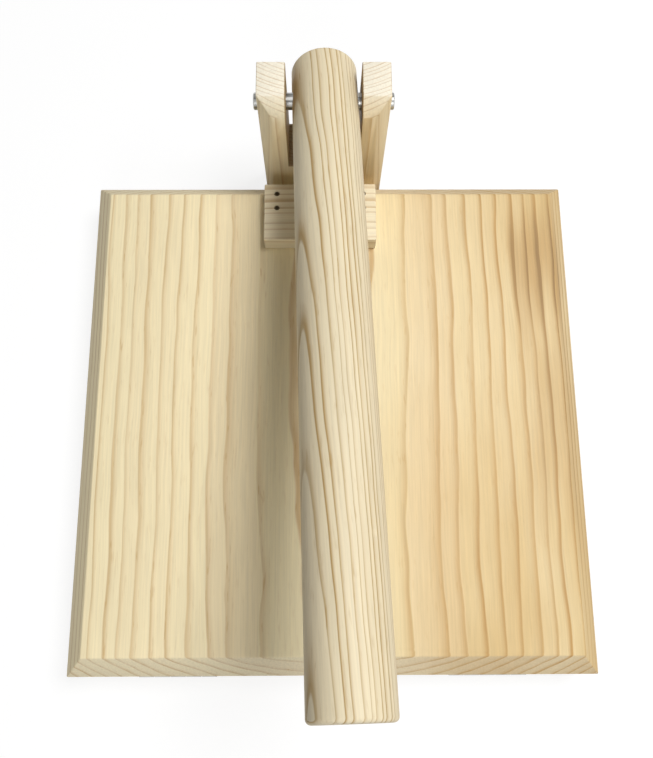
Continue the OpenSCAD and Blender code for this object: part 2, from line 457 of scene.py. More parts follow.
def count_years(tree, strayed, seed, ring, uneven, phase):
    """Years of growth between the heart and a place, some quick and some slow."""
    radius = distance(tree, point_sum(tree, "MULTIPLY", strayed, (1, 1, 0)))
    even = sum_up(tree, "DIVIDE", radius, ring)
    noise_inputs = {"W": sum_up(tree, "ADD", even, seed * YEAR_SEED_STEP), "Scale": YEAR_PACE, "Detail": 1.0}
    lean = put(tree, "ShaderNodeTexNoise", noise_inputs, noise_dimensions="1D").outputs["Fac"]
    return sum_up(tree, "ADD", sum_up(tree, "MULTIPLY_ADD", lean, uneven * 2, even), phase)


def late_share(tree, years, crisp):
    """How much late wood a place has: it comes slowly through the summer and ends at once."""
    start = 0.45 + 0.25 * crisp
    halfway = start + (0.9 - start) * 0.55
    stops = ((0.0, 0.0), (start, 0.08), (halfway, 0.4), (0.91, 1.0), (0.955, 0.9), (0.995, 0.0))
    return ramp(tree, sum_up(tree, "FRACT", years), stops)


def darker_places(tree, spot, press, clouds):
    """How far the darker clouds darken a place, with edges made ragged by press."""
    clouded = 0.0
    for middle_x, middle_y, half_width, half_length, depth in clouds:
        off = point_sum(tree, "SUBTRACT", spot, (middle_x, middle_y, 0.0))
        off = point_sum(tree, "MULTIPLY", off, (1 / half_width, 1 / half_length, 0.0))
        swing = sum_up(tree, "SUBTRACT", press, 0.5)
        ragged = sum_up(tree, "MULTIPLY_ADD", swing, CLOUD_RAGGEDNESS, distance(tree, off))
        clouded = sum_up(tree, "ADD", clouded, ramp(tree, ragged, ((0.1, depth), (0.95, 0.0)), "EASE"))
    return clouded


def inside_slot(tree, spot, slot):
    """1 within a slot and on its faces, and otherwise 0."""
    left, right, floor = slot
    off = sum_up(tree, "ABSOLUTE", sum_up(tree, "SUBTRACT", part_of(tree, spot, "X"), (left + right) / 2))
    between = sum_up(tree, "LESS_THAN", off, (right - left) / 2 + SLOT_SHADE_MARGIN)
    above = sum_up(tree, "GREATER_THAN", part_of(tree, spot, "Z"), floor - SLOT_SHADE_MARGIN)
    return times(tree, between, above)


def pine(
    name, looks, heart, lie, seed,
    ring=5.0 * MM, wave=2.4 * MM, ripple=0.22, uneven=0.4, phase=0.0,
    warmth=(-300 * MM, 300 * MM), deeper=0.0, line=1.0, crisp=0.0, fleck=0.3, pale=0.0, age=0.0, band=0.35,
    cut=None, dull=(0.09, 0.3), shaded_slot=None, clouds=(),
):
    """Bare pine cut from a log whose heart passes through the point heart.

    lie: the turn that lays the log's length, its own Z, along the grain
    seed: another number draws another piece of wood
    ring: the growth in a year
    wave, ripple: how far the rings stray, and the share of it that is short ripples
    uneven, phase: how the years differ, and where in a year the heart starts
    warmth, deeper: the X range over which the wood turns yellower, and how much its lines darken there
    line, crisp: how strong and how narrow the dark lines are
    fleck: how strong the flecks beside them are
    pale, age: how much is the whitest sapwood, and how far it has greyed
    band: how rosy the rosier years are
    cut, dull: the colour of sawn faces, and how much of it slanting and square ones have
    shaded_slot: a slot whose walls and floor get painted shade, as its two sides in X and its floor
    clouds: darker places, each with its middle in X and Y, half width, half length and depth
    """
    material, tree, shader = new_material(name)
    spot = put(tree, "ShaderNodeTexCoord").outputs
    log = put(
        tree,
        "ShaderNodeMapping",
        {"Vector": spot["Object"], "Location": heart, "Rotation": lie},
        vector_type="TEXTURE",
    ).outputs[0]
    strayed = stray_rings(tree, log, seed, wave, ripple)
    years = count_years(tree, strayed, seed, ring, uneven, phase)
    late = late_share(tree, years, crisp)
    side = ranged(tree, part_of(tree, spot["Object"], "X"), *warmth, way="SMOOTHSTEP")

    # Each line is stronger here and fainter there, and so is each year
    press = grain_noise(tree, strayed, LINE_PATCHES, seed + 3)
    this_year = sum_up(tree, "ADD", sum_up(tree, "FLOOR", years), seed)
    year = put(tree, "ShaderNodeTexWhiteNoise", {"W": this_year}, noise_dimensions="1D").outputs
    clouded = darker_places(tree, spot["Object"], press, clouds)
    dark = times(
        tree,
        late,
        ramp(tree, press, LINE_SHARE),
        sum_up(tree, "MULTIPLY_ADD", year["Value"], YEAR_SWING, FAINTEST_YEAR),
        sum_up(tree, "MULTIPLY_ADD", side, deeper, 1.0 - deeper / 2),
        sum_up(tree, "MULTIPLY_ADD", clouded, CLOUD_DARKENING, 1.0),
    )

    # Slow patches, more of them on the yellower side, and some rosier years
    patch = ramp(tree, grain_noise(tree, log, WARM_PATCHES, seed + 4), WARM_SHARE)
    warm = times(tree, side, sum_up(tree, "MULTIPLY_ADD", patch, 0.5, 0.5))
    ground = blend_colours(tree, warm, mixed(looks.early, looks.pale, pale), looks.warm)
    ground = blend_colours(tree, age, ground, looks.grey)
    rosy = times(tree, part_of(tree, year["Color"], "Y"), band)
    ground = blend_colours(tree, rosy, ground, looks.rosy)

    # Sawn faces take the colour of a cut, the more the squarer they cross the grain
    way = Vector((0, 0, 1))
    way.rotate(lie)
    facing = point_sum(tree, "DOT_PRODUCT", spot["Normal"], way, result="Value")
    across = sum_up(tree, "ABSOLUTE", facing)
    sawn = ramp(tree, across, SAWN_SHARE)
    slanting, square = dull
    dulled = ramp(tree, across, ((0.5, 0.83 * slanting), (0.72, slanting), (0.97, square)))
    ground = blend_colours(tree, times(tree, sawn, dulled), ground, cut or looks.grey)

    # The dark lines over the ground, both darker in the clouds
    ground = blend_colours(tree, clouded, ground, looks.late)
    late_wood = mixed(looks.late, looks.aged, min(1.0, 2 * age))
    late_wood = blend_colours(tree, clouded, late_wood, looks.stained)
    stain = sum_up(tree, "MINIMUM", times(tree, dark, LINE_STAIN * line), 1.0)
    wood = blend_colours(tree, stain, ground, late_wood)

    # Fine fibres, and short resin flecks beside the lines
    fibre = grain_noise(tree, strayed, FIBRES, seed + 5, 3.0)
    wood = blend_colours(tree, 1.0, wood, ramp(tree, fibre, FIBRE_SHADE), "MULTIPLY")
    flecks = ramp(tree, grain_noise(tree, strayed, FLECKS, seed + 6), FLECK_SHARE)
    beside = sum_up(tree, "MULTIPLY_ADD", late, 1.0 - FLECK_ALONE, FLECK_ALONE)
    wood = blend_colours(tree, times(tree, flecks, beside, fleck), wood, late_wood)
    # Painted shade darkens the walls and floor of the slot
    if shaded_slot:
        painted_shade = blend_colours(tree, 1.0, wood, looks.slot_shade, "MULTIPLY")
        wood = blend_colours(tree, inside_slot(tree, spot["Object"], shaded_slot), wood, painted_shade)

    # The gloss of a planed face, and the relief that the plane and the saw leave
    smooth = sum_up(tree, "MULTIPLY_ADD", sawn, SAWN_ROUGHNESS - PLANED_ROUGHNESS, PLANED_ROUGHNESS)
    roughness = sum_up(tree, "MULTIPLY_ADD", fibre, FIBRE_ROUGHNESS, smooth)
    relief = sum_up(tree, "MULTIPLY_ADD", dark, LINE_RELIEF, times(tree, fibre, FIBRE_RELIEF))
    pores = times(tree, blotches(tree, log, PORES_A_METRE, 2.0), sawn, PORE_RELIEF)
    relief = sum_up(tree, "ADD", relief, pores)
    lay_finish(tree, shader, wood, roughness, relief, WOOD_RELIEF_STRENGTH, WOOD_RELIEF)
    shader.inputs["Specular IOR Level"].default_value = WOOD_GLOSS
    return material


# Metal

METAL_SEED_STEP = (0.31, 0.17, 0.23)
CLOUD_SHADE = ((0.3, 0.82), (0.7, 1.0))
CLOUD_ROUGHNESS = 0.16
SCRATCH_ROUGHNESS = 0.12
METAL_RELIEF_STRENGTH = 0.5


def metal(name, colour, *, seed, roughness, streak, mottle, depth, shine=1.0, dim=0.9):
    """Plated or drawn metal.

    seed: another number draws other scratches and clouds
    roughness: how dull the metal is, as a mean over its clouds and scratches
    streak, mottle: the size of a scratch along X, Y and Z, and the size of a cloud
    depth: the height of the scratches
    shine, dim: how metallic the surface is, and the brightness of its dullest streaks; a very low dim makes
    them painted dark reflections
    """
    material, tree, shader = new_material(name)
    spot = put(tree, "ShaderNodeTexCoord").outputs
    moved = point_sum(tree, "ADD", spot["Object"], [seed * step for step in METAL_SEED_STEP])
    scratch = blotches(tree, point_sum(tree, "DIVIDE", moved, streak), 1.0, 3.0)
    cloud = blotches(tree, moved, 1 / mottle, 4.0)
    face = blend_colours(tree, 1.0, colour, ramp(tree, cloud, CLOUD_SHADE), "MULTIPLY")
    # A face that looks along X is a cut end and has no streaks
    cut_end = sum_up(tree, "ABSOLUTE", part_of(tree, spot["Normal"], "X"))
    # The streaks darken the colour down to dim; on the pin they are painted dark reflections as well
    streaks = blend_colours(tree, cut_end, ramp(tree, scratch, ((0.38, dim), (0.6, 1.0))), WHITE)
    face = blend_colours(tree, 1.0, face, streaks, "MULTIPLY")
    smoothest = roughness - (CLOUD_ROUGHNESS + SCRATCH_ROUGHNESS) / 2
    rough = sum_up(tree, "MULTIPLY_ADD", cloud, CLOUD_ROUGHNESS, smoothest)
    rough = sum_up(tree, "MULTIPLY_ADD", scratch, SCRATCH_ROUGHNESS, rough)
    lay_finish(tree, shader, face, rough, scratch, METAL_RELIEF_STRENGTH, depth)
    shader.inputs["Metallic"].default_value = shine
    return material


# Shapes that follow a rule

SHARP_TURN = math.radians(24)
LEVER_SIDES = 96
ROUND_SIDES = 48
SCREW_SIDES = 24
NAIL_SIDES = 16


class Former:
    """A Geometry Nodes tree with named sizes, and the plain meshes that are made with it."""

    def __init__(self, name, lengths, counts=(), places=()):
        """lengths, counts and places name the tree's inputs."""
        self.tree = bpy.data.node_groups.new(name, "GeometryNodeTree")
        face = self.tree.interface
        face.new_socket("Geometry", in_out="OUTPUT", socket_type="NodeSocketGeometry")
        face.new_socket("Geometry", in_out="INPUT", socket_type="NodeSocketGeometry")
        kinds = {"Float": lengths, "Int": counts, "Vector": places, "Material": ("Material",)}
        self.inputs = {
            size: face.new_socket(size, in_out="INPUT", socket_type=f"NodeSocket{kind}").identifier
            for kind, sizes in kinds.items()
            for size in sizes
        }
        self.size = put(self.tree, "NodeGroupInput").outputs

    def node(self, kind, inputs=(), **settings):
        """Adds a node and gives its first output."""
        return put(self.tree, kind, inputs, **settings).outputs[0]

    def sum(self, operation, *values):
        """One Math node's result."""
        return sum_up(self.tree, operation, *values)

    def plus(self, first, second):
        """Two numbers added."""
        return self.sum("ADD", first, second)

    def minus(self, first, second):
        """The second number taken from the first."""
        return self.sum("SUBTRACT", first, second)

    def times(self, *factors):
        """Numbers multiplied with one another."""
        return times(self.tree, *factors)

    def place(self, x=0.0, y=0.0, z=0.0):
        """A vector from three numbers or sockets."""
        return self.node("ShaderNodeCombineXYZ", {0: x, 1: y, 2: z})

    def moved(self, shape, by=(0, 0, 0), turn=(0, 0, 0), scale=(1, 1, 1)):
        """A shape moved, turned and stretched."""
        return self.node(
            "GeometryNodeTransform", {"Geometry": shape, "Translation": by, "Rotation": turn, "Scale": scale}
        )

    def raised(self, shape, height):
        """A shape moved straight up."""
        return self.moved(shape, self.place(z=height))

    def joined(self, *shapes):
        """Several shapes as one."""
        node = put(self.tree, "GeometryNodeJoinGeometry")
        for shape in shapes:
            self.tree.links.new(shape, node.inputs[0])
        return node.outputs[0]

    def cut(self, shape, *tools):
        """A shape with the tools cut out of it."""
        node = put(self.tree, "GeometryNodeMeshBoolean", {0: shape}, operation="DIFFERENCE", solver="EXACT")
        for tool in tools:
            self.tree.links.new(tool, node.inputs[1])
        return node.outputs[0]

    def row(self, shape, count, pitch, axis="x"):
        """count copies of a shape along an axis, pitch apart, about the origin."""
        first = self.times(self.minus(count, 1), self.times(pitch, -0.5))
        ends = {"Start Location": self.place(**{axis: first}), "Offset": self.place(**{axis: pitch})}
        line = self.node("GeometryNodeMeshLine", {"Count": count, **ends})
        return self.node("GeometryNodeInstanceOnPoints", {"Points": line, "Instance": shape})

    def plain(self, shape):
        """Copies turned into plain faces."""
        return self.node("GeometryNodeRealizeInstances", {"Geometry": shape})

    def cylinder(self, sides, radius, height):
        """An upright cylinder about the origin."""
        return self.node("GeometryNodeMeshCylinder", {"Vertices": sides, "Radius": radius, "Depth": height})

    def cone(self, sides, top, bottom, height):
        """A blunt cone that stands on the origin, from its radii at the top and the bottom."""
        radii = {"Radius Top": top, "Radius Bottom": bottom}
        return self.node("GeometryNodeMeshCone", {"Vertices": sides, "Depth": height, **radii})

    def hoop(self, points, radius):
        """A round curve of a few points."""
        return self.node("GeometryNodeCurvePrimitiveCircle", {"Resolution": points, "Radius": radius})

    def bar_end(self, width, height):
        """The outline of a flat bar's end, with slightly rounded corners."""
        outline = self.node("GeometryNodeCurvePrimitiveQuadrilateral", {"Width": width, "Height": height})
        rounding = {"Curve": outline, "Radius": self.times(height, BAR_ROUNDING), "Count": 2}
        return self.node("GeometryNodeFilletCurve", rounding, mode="POLY")

    def path(self, count, spots):
        """A curve of count points that lie at spots."""
        line = self.node("GeometryNodeCurvePrimitiveLine", {"Start": (0, 0, 0), "End": (0, 0, 1)})
        line = self.node("GeometryNodeResampleCurve", {"Curve": line, "Count": count})
        return self.node("GeometryNodeSetPosition", {"Geometry": line, "Position": spots})

    def drawn(self, path, outline, **more):
        """An outline drawn along a path, with closed ends."""
        return self.node(
            "GeometryNodeCurveToMesh", {"Curve": path, "Profile Curve": outline, "Fill Caps": True, **more}
        )

    def rod(self, length, radius, rounding, around, steps=6, middle_steps=1):
        """A round rod from the origin along +Z, with rounded end edges."""
        last = 2 * steps + middle_steps
        index = self.node("GeometryNodeInputIndex")
        opening = ranged(self.tree, index, 0, steps, 0.0, QUARTER_TURN)
        closing = ranged(self.tree, index, last - steps, last, QUARTER_TURN, 0.0)
        body = ranged(self.tree, index, steps, last - steps)
        ends = self.plus(self.minus(1.0, self.sum("COSINE", opening)), self.sum("COSINE", closing))
        straight = self.minus(length, self.times(rounding, 2.0))
        along = self.plus(self.times(ends, rounding), self.times(body, straight))
        full = self.plus(self.sum("SINE", opening), self.sum("SINE", closing))
        girth = self.plus(radius, self.times(rounding, self.minus(full, 2.0)))
        return self.drawn(self.path(last + 1, self.place(z=along)), self.hoop(around, 1.0), Scale=girth)

    def finish(self, shape):
        """Ends the tree with plain faces and their material."""
        dressed = {"Geometry": self.plain(shape), "Material": self.size["Material"]}
        put(self.tree, "NodeGroupOutput", {0: self.node("GeometryNodeSetMaterial", dressed)})
        return self

    def make(self, node, place, material, sizes):
        """Makes the piece that stands for a CAD node.

        place puts the finished mesh where it belongs, so that the object stays at the origin.
        """
        name = PIECES[node][0]
        maker = bpy.data.objects.new(name, bpy.data.meshes.new(name))
        bpy.context.scene.collection.objects.link(maker)
        former = maker.modifiers.new(self.tree.name, "NODES")
        former.node_group = self.tree
        for size, value in {**sizes, "Material": material}.items():
            former[self.inputs[size]] = value
        stage = bpy.context.evaluated_depsgraph_get()
        mesh = bpy.data.meshes.new_from_object(maker.evaluated_get(stage), depsgraph=stage)
        if not mesh.polygons:
            raise RuntimeError(f"{name}: the tree {self.tree.name} made no faces")
        maker.modifiers.remove(former)
        mesh.transform(place)
        mesh.name = name
        mesh.shade_smooth()
        mesh.set_sharp_from_angle(angle=SHARP_TURN)
        maker.data = mesh
        settle(maker, node)


def settle(piece, node):
    """Hands a finished piece to the frame."""
    _, body, slot = PIECES[node]
    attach(piece, body)
    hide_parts(node)


def turned_rod():
    """A turned rod with rounded ends."""
    former = Former("Turned Rod", ("Length", "Radius", "Rounding"))
    size = former.size
    return former.finish(former.rod(size["Length"], size["Radius"], size["Rounding"], ROUND_SIDES))


DRILL_LENGTH_IN_RADII = 3.0
NICK_STRETCH = (1.0, 1.0, 1.7)


def round_lever():
    """A round lever, drilled across for its pin, with a small nick."""
    former = Former(
        "Round Lever",
        ("Length", "Radius", "Rounding", "Hole Radius", "Nick Radius"),
        places=("Pin Place", "Pin Turn", "Nick Place"),
    )
    size = former.size
    rod = former.rod(
        size["Length"], size["Radius"], size["Rounding"], LEVER_SIDES, steps=8, middle_steps=40
    )
    drill_length = former.times(size["Radius"], DRILL_LENGTH_IN_RADII)
    drill = former.cylinder(ROUND_SIDES, size["Hole Radius"], drill_length)
    drill = former.moved(drill, size["Pin Place"], size["Pin Turn"])
    pebble = former.node("GeometryNodeMeshIcoSphere", {"Radius": size["Nick Radius"], "Subdivisions": 3})
    pebble = former.moved(pebble, size["Nick Place"], scale=NICK_STRETCH)
    return former.finish(former.cut(rod, drill, pebble))


# A screw in radii of its shank: the head, the driver's wing that cuts its slots, the shank, the
# point's length and the thread's pitch
HEAD_WIDTH = 2.0
WING_TOP = 1.2
WING_FOOT = 0.25
WING_HEIGHT = 0.95
WING_FLOOR = -0.9
SHANK_WIDTH = 0.98
SHANK_ROUNDING = 0.1
POINT_LENGTH = 2.2
THREAD_PITCH = 0.85
# The wing's thickness in its width, the smooth shank in the length, the point's end in the core,
# and the thread's blade in the ridge
WING_WAIST = 0.26
SMOOTH_SHARE = 0.36
POINT_BLUNTNESS = 0.08
BLADE_WIDTH = 0.6
BLADE_SINK = 0.62


def screw_row():
    """A row of countersunk screws, heads up at z = 0, with crossed slots and threads."""
    former = Former("Screw Row", ("Pitch", "Radius", "Length", "Thread Depth"), ("Count",))
    size = former.size
    radius = size["Radius"]
    length = size["Length"]
    core = former.times(radius, former.minus(1.0, size["Thread Depth"]))

    # The head, with a slot across and one along
    head = former.cone(ROUND_SIDES, former.times(radius, HEAD_WIDTH), radius, radius)
    head = former.raised(head, former.times(radius, -1.0))
    shares = (WING_TOP, WING_FOOT, WING_HEIGHT, WING_FLOOR)
    top, foot, height, floor = (former.times(radius, share) for share in shares)
    wing = former.raised(former.cone(4, top, foot, height), floor)
    slots = [former.moved(wing, scale=waist) for waist in ((1.0, WING_WAIST, 1.0), (WING_WAIST, 1.0, 1.0))]
    head = former.cut(head, *slots)

    # The smooth shank, the thread's core and the point
    smooth = former.times(length, SMOOTH_SHARE)
    girth = former.times(radius, SHANK_WIDTH)
    shank = former.rod(smooth, girth, former.times(radius, SHANK_ROUNDING), SCREW_SIDES, steps=2)
    shank = former.moved(shank, turn=UPSIDE_DOWN)
    tip = former.times(radius, POINT_LENGTH)
    body = former.minus(length, tip)
    stem = former.raised(former.cylinder(SCREW_SIDES, core, body), former.times(body, -0.5))
    point = former.cone(SCREW_SIDES, core, former.times(core, POINT_BLUNTNESS), tip)
    point = former.raised(point, former.times(length, -1.0))

    # The thread, a blade wound round the core
    threaded = former.minus(body, smooth)
    turns = former.sum("DIVIDE", threaded, former.times(radius, THREAD_PITCH))
    ridge = former.minus(radius, core)
    flank = former.minus(radius, former.times(ridge, BLADE_SINK))
    winding = {"Resolution": 14, "Rotations": turns, "Height": threaded}
    radii = {"Start Radius": flank, "End Radius": flank}
    coil = former.node("GeometryNodeCurveSpiral", {**winding, **radii})
    thread = former.drawn(coil, former.hoop(4, former.times(ridge, BLADE_WIDTH)))
    thread = former.raised(thread, former.times(body, -1.0))
    screw = former.joined(head, shank, stem, point, thread)
    return former.finish(former.row(screw, size["Count"], size["Pitch"]))


# A nail's proportions: the dome in head radii, the point in shank radii
DOME_ROUNDING = 0.3
NAIL_POINT_LENGTH = 2.4
NAIL_POINT_BLUNTNESS = 0.1


def nail_pairs():
    """Two pairs of nails, heads up, with slightly domed heads."""
    former = Former("Nail Pairs", ("Across", "Along", "Shank Radius", "Head Radius", "Length"))
    size = former.size
    head = size["Head Radius"]
    radius = size["Shank Radius"]
    dome = former.rod(head, head, former.times(head, DOME_ROUNDING), SCREW_SIDES, steps=4)
    dome = former.moved(dome, turn=UPSIDE_DOWN)
    point = former.times(radius, NAIL_POINT_LENGTH)
    straight = former.minus(size["Length"], point)
    shank = former.raised(former.cylinder(NAIL_SIDES, radius, straight), former.times(straight, -0.5))
    spike = former.cone(NAIL_SIDES, radius, former.times(radius, NAIL_POINT_BLUNTNESS), point)
    spike = former.raised(spike, former.times(size["Length"], -1.0))
    pair = former.row(former.joined(dome, shank, spike), 2, size["Across"])
    return former.finish(former.row(pair, 2, size["Along"], "y"))


ROLL_POINTS = 30
# A leaf in its own thickness, and the width of its countersinks in a screw's radius
BAR_ROUNDING = 0.14
SINK_DEPTH = 1.2
SINK_FOOT = -0.68
SINK_WIDTH = 2.08


def rolled_knuckle(former, width, bend, edge):
    """One knuckle: a strip that comes in from the plate and is rolled round the pin."""
    index = former.node("GeometryNodeInputIndex")
    share = ranged(former.tree, index, 1, ROLL_POINTS - 1)
    turn = former.minus(-QUARTER_TURN, former.times(share, former.size["Roll"]))
    lead = former.times(former.sum("LESS_THAN", index, 0.5), edge)
    across = former.plus(former.times(former.sum("COSINE", turn), bend), lead)
    rise = former.times(former.sum("SINE", turn), bend)
    path = former.path(ROLL_POINTS, former.place(0.0, across, rise))
    return former.drawn(path, former.bar_end(width, former.size["Thickness"]))


def sunk_plate(former, level, edge):
    """The leaf's plate, with countersunk holes for its two screws."""
    size = former.size
    ends = [former.place(x=former.times(size["Length"], share)) for share in (-0.5, 0.5)]
    line = former.node("GeometryNodeCurvePrimitiveLine", {"Start": ends[0], "End": ends[1]})
    plate = former.drawn(line, former.bar_end(former.minus(size["Reach"], edge), size["Thickness"]))
    plate_middle = former.times(former.plus(size["Reach"], edge), 0.5)
    plate = former.moved(plate, former.place(0.0, plate_middle, level))
    sink_radius = former.times(size["Screw Radius"], SINK_WIDTH)
    sink_depth = former.times(size["Thickness"], SINK_DEPTH)
    sink = former.cone(ROUND_SIDES, sink_radius, former.minus(sink_radius, sink_depth), sink_depth)
    bottom = former.plus(level, former.times(size["Thickness"], SINK_FOOT))
    sinks = former.row(sink, 2, size["Screw Pitch"])
    sinks = former.moved(sinks, former.place(0.0, size["Screw Reach"], bottom))
    return former.cut(plate, former.plain(sinks))


def rolled_leaf():
    """A hinge leaf below its pin: a plate with every second knuckle rolled round the pin, along X."""
    former = Former(
        "Rolled Leaf",
        ("Length", "Reach", "Thickness", "Knuckle Radius", "Gap", "Room", "Roll")
        + ("Screw Pitch", "Screw Reach", "Screw Radius"),
        ("Knuckles", "First"),
    )
    size = former.size
    bend = former.minus(size["Knuckle Radius"], former.times(size["Thickness"], 0.5))
    edge = former.plus(size["Knuckle Radius"], size["Room"])
    pitch = former.sum("DIVIDE", size["Length"], size["Knuckles"])
    knuckle = rolled_knuckle(former, former.minus(pitch, size["Gap"]), bend, edge)
    rest = former.minus(former.plus(size["Knuckles"], 1), size["First"])
    own = former.sum("FLOOR", former.sum("DIVIDE", rest, 2.0))
    knuckles = former.plain(former.row(knuckle, own, former.times(pitch, 2.0)))
    plate = sunk_plate(former, former.times(bend, -1.0), edge)
    return former.finish(former.joined(plate, knuckles))


# Shapes cut from flat stock

# Points nearer than this are one point, and faces that turn less than this are one face
MERGE_REACH = 0.002 * MM
FLAT_TURN = math.radians(0.6)
# Edges that turn further than this are sanded, if the faces beside them are this many easings wide
SANDED_TURN = math.radians(40)
ROOM_FOR_SANDING = 2.5
# Corners of sanded edges that lie nearer than this become one
SMALLEST_STEP = 0.4 * MM
# A sanded edge may bend at every such step, as a noise of this pace says
WANDER_STEP = 11 * MM
WANDER_PACE = 38.0
WANDER_SEED_STEP = Vector((9.0, 4.0, 2.0))
# The rounding's own facets, and the largest face that is still shaded as a part of it
EASING_STEPS = 3
LARGEST_SMOOTH_FACE = 12 * MM * MM


def split_edge(edge, step):
    """Splits an edge into stretches of about step, and gives them all."""
    stretches = [edge]
    rest = edge
    near = edge.verts[0]
    for left in range(round(edge.calc_length() / step), 1, -1):
        new_edge, new_point = bmesh.utils.edge_split(rest, near, 1 / left)
        stretches.append(new_edge)
        rest = next(part for part in (rest, new_edge) if near not in part.verts)
        near = new_point
    return stretches


def outer_edges(shape, sizes):
    """The long outward edges that a maker would sand, with room for the sanding on both sides."""
    room = ROOM_FOR_SANDING * sizes.easing
    return [
        edge
        for edge in shape.edges
        if edge.is_manifold
        and edge.is_convex
        and edge.calc_length() > sizes.shortest
        and edge.calc_face_angle() > SANDED_TURN
        and min(face.calc_area() / edge.calc_length() for face in edge.link_faces) > room
    ]


def eased_stock(node, material, sizes, seed):
    """A CAD piece of flat stock with its long outer edges sanded round and not quite straight."""
    shape = bmesh.new()
    shape.from_mesh(frame["nodes"][node].data)
    bmesh.ops.remove_doubles(shape, verts=shape.verts, dist=MERGE_REACH)
    bmesh.ops.dissolve_limit(
        shape, angle_limit=FLAT_TURN, verts=shape.verts, edges=shape.edges, use_dissolve_boundaries=False
    )
    corners = {point for edge in outer_edges(shape, sizes) for point in edge.verts}
    bmesh.ops.remove_doubles(shape, verts=list(corners), dist=SMALLEST_STEP)
    stretches = [part for edge in outer_edges(shape, sizes) for part in split_edge(edge, WANDER_STEP)]
    shape.normal_update()
    for point in {point for part in stretches for point in part.verts}:
        bend = noise.noise(point.co * WANDER_PACE + WANDER_SEED_STEP * seed)
        point.co -= point.normal * sizes.wander * (0.5 + 0.5 * bend)
    bmesh.ops.bevel(
        shape,
        geom=stretches,
        offset=sizes.easing,
        offset_type="OFFSET",
        segments=EASING_STEPS,
        profile=0.5,
        affect="EDGES",
        clamp_overlap=False,
    )
    shape.normal_update()
    for face in shape.faces:
        face.smooth = face.calc_area() < LARGEST_SMOOTH_FACE
    name = PIECES[node][0]
    mesh = bpy.data.meshes.new(name)
    shape.to_mesh(mesh)
    shape.free()
    mesh.materials.append(material)
    mesh.set_sharp_from_angle(angle=SHARP_TURN)
    piece = bpy.data.objects.new(name, mesh)
    bpy.context.scene.collection.objects.link(piece)
    settle(piece, node)


# Stage

FLOOR_REACH = 4.0
FLOOR_DROP = 0.05 * MM
# How bright a white floor comes out under the lamps, and the distances over which its shading fades
FLOOR_LIGHT = 0.88
FLOOR_FADE = (0.5, 1.3)
KEY_PLACE = Vector((0.434, 0.191, 1.237))
KEY_SIZE = 0.5
FILL_PLACE = Vector((0.05, -1.0, 0.8))
FILL_SIZE = 0.6
CAMERA_PLACE = Vector((-5.82, -76.52, 419.09)) * MM
CAMERA_TURN = [math.radians(angle) for angle in (-1.99, 13.677, 1.767)]
SENSOR_HEIGHT = 36.0
NEAREST_SEEN = 0.02
FARTHEST_SEEN = 20.0


def lay_floor(scene, looks):
    """A wide pale floor that the camera sees as white, but for the press's own shadow."""
    reach = FLOOR_REACH
    corners = [(-reach, -reach, 0), (reach, -reach, 0), (reach, reach, 0), (-reach, reach, 0)]
    mesh = bpy.data.meshes.new("floor")
    mesh.from_pydata(corners, [], [(0, 1, 2, 3)])
    floor = bpy.data.objects.new("floor", mesh)
    scene.collection.objects.link(floor)
    floor.location.z = -FLOOR_DROP
    material = bpy.data.materials.new("pale_floor")
    tree = blank_tree(material)
    matt = put(tree, "ShaderNodeBsdfDiffuse", {"Color": (looks.floor, looks.floor, looks.floor, 1.0)})
    lit = looks.shadow * looks.floor * FLOOR_LIGHT
    glow = put(
        tree, "ShaderNodeEmission", {"Color": (*WHITE, 1.0), "Strength": (1.0 - lit) / (1.0 - looks.shadow)}
    )
    # The floor's own shading fades out with distance, so that no horizon shows
    away = distance(tree, put(tree, "ShaderNodeTexCoord").outputs["Object"])
    shading = ranged(tree, away, *FLOOR_FADE, looks.shadow, 0.0, "SMOOTHSTEP")
    share = times(tree, seen_directly(tree), sum_up(tree, "SUBTRACT", 1.0, shading))
    mix = put(tree, "ShaderNodeMixShader", {0: share, 1: matt.outputs[0], 2: glow.outputs[0]})
    put(tree, "ShaderNodeOutputMaterial", {"Surface": mix.outputs[0]})
    mesh.materials.append(material)


def hang_lamp(scene, name, place, target, size, power):
    """A square soft lamp that faces a point."""
    lamp = bpy.data.lights.new(name, "AREA")
    lamp.shape = "SQUARE"
    lamp.size = size
    lamp.energy = power
    hung = bpy.data.objects.new(name, lamp)
    scene.collection.objects.link(hung)
    hung.location = place
    hung.rotation_euler = (target - place).to_track_quat("-Z", "Y").to_euler()
    hung.visible_camera = False


def light_sky(scene, looks):
    """Even light from all round, white to the camera and in reflections."""
    world = bpy.data.worlds.new("studio")
    scene.world = world
    tree = blank_tree(world)
    strength = ranged(tree, seen_directly(tree), low=looks.sky)
    sky = put(tree, "ShaderNodeBackground", {"Color": (*WHITE, 1.0), "Strength": strength})
    put(tree, "ShaderNodeOutputWorld", {"Surface": sky.outputs[0]})


def aim_camera(scene, looks):
    """The photograph's own viewpoint, worked out from the corners of the top board."""
    lens = bpy.data.cameras.new("camera")
    lens.sensor_fit = "VERTICAL"
    lens.sensor_height = SENSOR_HEIGHT
    lens.lens = looks.lens
    lens.clip_start = NEAREST_SEEN
    lens.clip_end = FARTHEST_SEEN
    camera = bpy.data.objects.new("camera", lens)
    scene.collection.objects.link(camera)
    yaw, pitch, roll = CAMERA_TURN
    turn = Matrix.Rotation(yaw, 4, "Z") @ Matrix.Rotation(pitch, 4, "X") @ Matrix.Rotation(roll, 4, "Z")
    camera.matrix_world = Matrix.Translation(CAMERA_PLACE) @ turn
    scene.camera = camera


